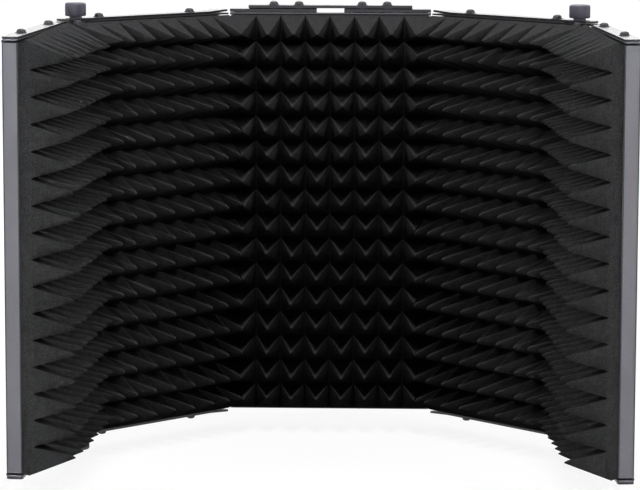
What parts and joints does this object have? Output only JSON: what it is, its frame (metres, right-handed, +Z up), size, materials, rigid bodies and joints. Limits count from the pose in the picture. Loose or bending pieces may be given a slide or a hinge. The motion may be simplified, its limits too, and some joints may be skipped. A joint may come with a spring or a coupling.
{
  "type": "microphone isolation shield",
  "caption": "Folding wall of sheet-metal trays with pyramid foam, curved round a microphone to absorb room reflections; hinged middle panels and knob-clamped wings.",
  "frame": {"origin": "on the plane of the lower knobs' ends, under the middle of the shield's box", "axes": "+Z up, +X to the right seen from the open side, which faces -Y"},
  "size_m": [0.395, 0.2598, 0.3036],
  "materials": {
    "black_metal": "satin",
    "foam": "matte",
    "knob": "matte",
    "black_screw": "satin",
    "steel": "satin"
  },
  "bodies": {
    "centre": {"centre_tray": "black_metal", "centre_foam": "foam", "left_end_plate": "black_metal", "right_end_plate": "black_metal", "clamp_bar": "black_metal", "clamp_washers": "steel", "clamp_screws": "black_screw", "left_fixed_leaves": "black_metal", "right_fixed_leaves": "black_metal", "left_hinge_pins": "steel", "right_hinge_pins": "steel", "centre_rivets": "steel"},
    "left_mid": {"left_mid_tray": "black_metal", "left_mid_foam": "foam", "left_mid_top_bar": "black_metal", "left_mid_bottom_bar": "black_metal", "left_mid_screws": "black_screw", "left_moving_leaves": "black_metal", "left_mid_rivets": "steel"},
    "right_mid": {"right_mid_tray": "black_metal", "right_mid_foam": "foam", "right_mid_top_bar": "black_metal", "right_mid_bottom_bar": "black_metal", "right_mid_screws": "black_screw", "right_moving_leaves": "black_metal", "right_mid_rivets": "steel"},
    "left_wing": {"left_wing_tray": "black_metal", "left_wing_foam": "foam", "left_wing_top_bar": "black_metal", "left_wing_bottom_bar": "black_metal", "left_wing_screws": "black_screw", "left_wing_nuts": "steel", "left_wing_washers": "steel"},
    "right_wing": {"right_wing_tray": "black_metal", "right_wing_foam": "foam", "right_wing_top_bar": "black_metal", "right_wing_bottom_bar": "black_metal", "right_wing_screws": "black_screw", "right_wing_nuts": "steel", "right_wing_washers": "steel"},
    "left_top_clamp": {"left_top_knob": "knob", "left_top_stud": "steel"},
    "left_bottom_clamp": {"left_bottom_knob": "knob", "left_bottom_stud": "steel"},
    "right_top_clamp": {"right_top_knob": "knob", "right_top_stud": "steel"},
    "right_bottom_clamp": {"right_bottom_knob": "knob", "right_bottom_stud": "steel"}
  },
  "joints": [
    {"name": "left_mid_fold", "type": "hinge", "parent": "centre", "child": "left_mid", "pos_m": [-0.07597, 0.12754, 0.1518], "axis": [0, 0, 1], "range_deg": [-45, 0]},
    {"name": "right_mid_fold", "type": "hinge", "parent": "centre", "child": "right_mid", "pos_m": [0.07597, 0.12754, 0.1518], "axis": [0, 0, -1], "range_deg": [-45, 0]},
    {"name": "left_wing_fold", "type": "hinge", "parent": "left_mid", "child": "left_wing", "pos_m": [-0.16797, 0.02443, 0.1518], "axis": [0, 0, 1], "range_deg": [-100, 3]},
    {"name": "right_wing_fold", "type": "hinge", "parent": "right_mid", "child": "right_wing", "pos_m": [0.16797, 0.02443, 0.1518], "axis": [0, 0, -1], "range_deg": [-100, 3]},
    {"name": "left_top_knob_turn", "type": "hinge", "parent": "left_mid", "child": "left_top_clamp", "pos_m": [-0.16797, 0.02443, 0.2985], "axis": [0, 0, 1], "continuous": true},
    {"name": "left_bottom_knob_turn", "type": "hinge", "parent": "left_mid", "child": "left_bottom_clamp", "pos_m": [-0.16797, 0.02443, 0.0051], "axis": [0, 0, -1], "continuous": true},
    {"name": "right_top_knob_turn", "type": "hinge", "parent": "right_mid", "child": "right_top_clamp", "pos_m": [0.16797, 0.02443, 0.2985], "axis": [0, 0, 1], "continuous": true},
    {"name": "right_bottom_knob_turn", "type": "hinge", "parent": "right_mid", "child": "right_bottom_clamp", "pos_m": [0.16797, 0.02443, 0.0051], "axis": [0, 0, -1], "continuous": true}
  ]
}
